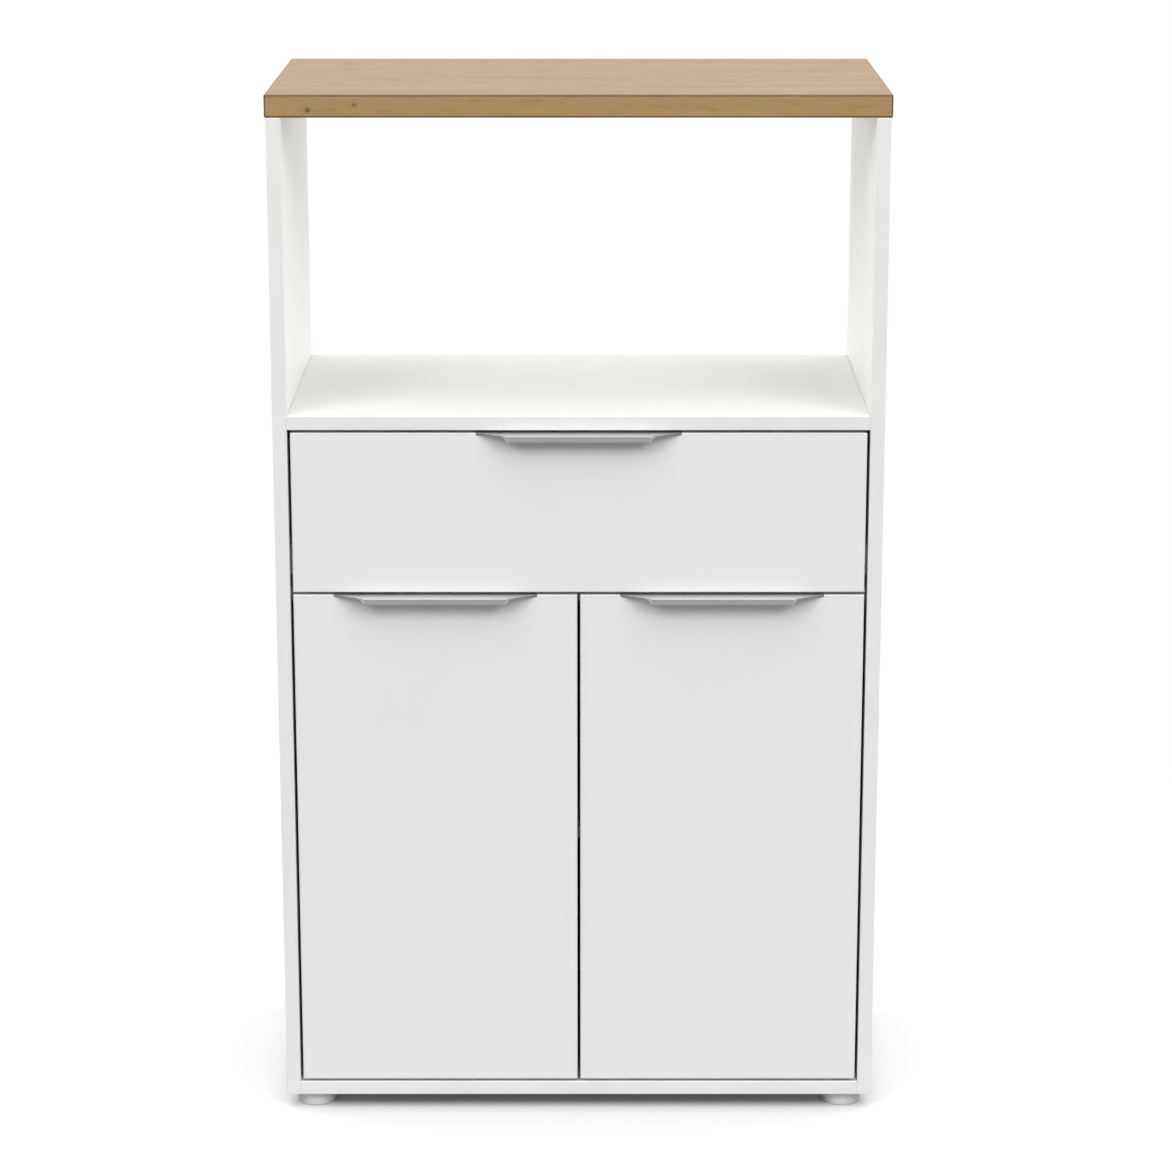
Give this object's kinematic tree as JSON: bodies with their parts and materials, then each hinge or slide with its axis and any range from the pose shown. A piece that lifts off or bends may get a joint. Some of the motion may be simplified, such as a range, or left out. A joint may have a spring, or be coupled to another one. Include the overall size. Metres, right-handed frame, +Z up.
{
  "type": "microwave cabinet",
  "caption": "Free-standing white microwave cabinet with an oak-look top, an open-backed appliance compartment, an inset drawer and inset doors with edge pulls.",
  "frame": {"origin": "on the floor, under the middle of the cabinet's box, edge pulls included", "axes": "+Z up, the fronts face -Y, +X to the right as seen from the front"},
  "size_m": [0.6, 0.343, 1.035],
  "materials": {
    "white_board": "white melamine-faced chipboard, satin, with thin matching edging",
    "oak_board": "light oak decor foil on chipboard, satin, fine grain along the width",
    "hardboard": "white-faced hardboard",
    "pull_metal": "matt anodised, fine brushing along its length",
    "plated_steel": "nickel-plated pressed steel",
    "runner_steel": "white epoxy powder coat",
    "runner_nylon": "natural nylon",
    "pin_plastic": "white moulded plastic",
    "glide_plastic": "pale grey moulded plastic, slightly translucent",
    "bumper_rubber": "pale soft rubber"
  },
  "bodies": {
    "carcass": {"top_board": "oak_board", "left_side_panel": "white_board", "right_side_panel": "white_board", "compartment_shelf": "white_board", "bottom_panel": "white_board", "back_panel": "hardboard", "cross_rail": "white_board", "loose_shelf": "white_board", "front_left_shelf_pin": "pin_plastic", "rear_left_shelf_pin": "pin_plastic", "front_left_foot": "glide_plastic", "rear_left_foot": "glide_plastic", "left_door_bumper": "bumper_rubber", "left_cabinet_runner": "runner_steel", "left_lower_hinge_arm": "plated_steel", "left_lower_hinge_plate": "plated_steel", "left_upper_hinge_arm": "plated_steel", "left_upper_hinge_plate": "plated_steel", "front_right_shelf_pin": "pin_plastic", "rear_right_shelf_pin": "pin_plastic", "front_right_foot": "glide_plastic", "rear_right_foot": "glide_plastic", "right_door_bumper": "bumper_rubber", "right_cabinet_runner": "runner_steel", "right_lower_hinge_arm": "plated_steel", "right_lower_hinge_plate": "plated_steel", "right_upper_hinge_arm": "plated_steel", "right_upper_hinge_plate": "plated_steel"},
    "left_door": {"left_door_panel": "white_board", "left_door_pull": "pull_metal", "left_door_pull_screw_1": "plated_steel", "left_door_pull_screw_2": "plated_steel", "left_lower_hinge_cup": "plated_steel", "left_lower_hinge_pin": "plated_steel", "left_upper_hinge_cup": "plated_steel", "left_upper_hinge_pin": "plated_steel"},
    "right_door": {"right_door_panel": "white_board", "right_door_pull": "pull_metal", "right_door_pull_screw_1": "plated_steel", "right_door_pull_screw_2": "plated_steel", "right_lower_hinge_cup": "plated_steel", "right_lower_hinge_pin": "plated_steel", "right_upper_hinge_cup": "plated_steel", "right_upper_hinge_pin": "plated_steel"},
    "drawer": {"drawer_front": "white_board", "drawer_left_side": "white_board", "drawer_right_side": "white_board", "drawer_back": "white_board", "drawer_bottom": "hardboard", "drawer_pull": "pull_metal", "drawer_pull_screw_1": "plated_steel", "drawer_pull_screw_2": "plated_steel", "left_drawer_runner": "runner_steel", "right_drawer_runner": "runner_steel"},
    "left_front_roller": {"left_front_roller": "runner_nylon"},
    "left_rear_roller": {"left_rear_roller": "runner_nylon"},
    "right_front_roller": {"right_front_roller": "runner_nylon"},
    "right_rear_roller": {"right_rear_roller": "runner_nylon"}
  },
  "joints": [
    {"name": "drawer_slide", "type": "slide", "parent": "carcass", "child": "drawer", "axis": [0, -1, 0], "range_m": [0, 0.22]},
    {"name": "left_door_hinge", "type": "hinge", "parent": "carcass", "child": "left_door", "pos_m": [-0.27088, -0.1495, 0.2875], "axis": [0, 0, -1], "range_deg": [0, 95]},
    {"name": "right_door_hinge", "type": "hinge", "parent": "carcass", "child": "right_door", "pos_m": [0.27088, -0.1495, 0.2875], "axis": [0, 0, 1], "range_deg": [0, 95]},
    {"name": "left_front_roller_spin", "type": "hinge", "parent": "carcass", "child": "left_front_roller", "pos_m": [-0.2789, -0.1265, 0.5747], "axis": [1, 0, 0], "continuous": true},
    {"name": "left_rear_roller_spin", "type": "hinge", "parent": "drawer", "child": "left_rear_roller", "pos_m": [-0.2776, 0.1338, 0.5725], "axis": [1, 0, 0], "continuous": true},
    {"name": "right_front_roller_spin", "type": "hinge", "parent": "carcass", "child": "right_front_roller", "pos_m": [0.2789, -0.1265, 0.5747], "axis": [1, 0, 0], "continuous": true},
    {"name": "right_rear_roller_spin", "type": "hinge", "parent": "drawer", "child": "right_rear_roller", "pos_m": [0.2776, 0.1338, 0.5725], "axis": [1, 0, 0], "continuous": true}
  ],
  "couplings": [
    {"joint": "left_front_roller_spin", "follows": "drawer_slide", "rad_per_m": 90.909},
    {"joint": "left_rear_roller_spin", "follows": "drawer_slide", "rad_per_m": 90.909},
    {"joint": "right_front_roller_spin", "follows": "drawer_slide", "rad_per_m": 90.909},
    {"joint": "right_rear_roller_spin", "follows": "drawer_slide", "rad_per_m": 90.909}
  ]
}
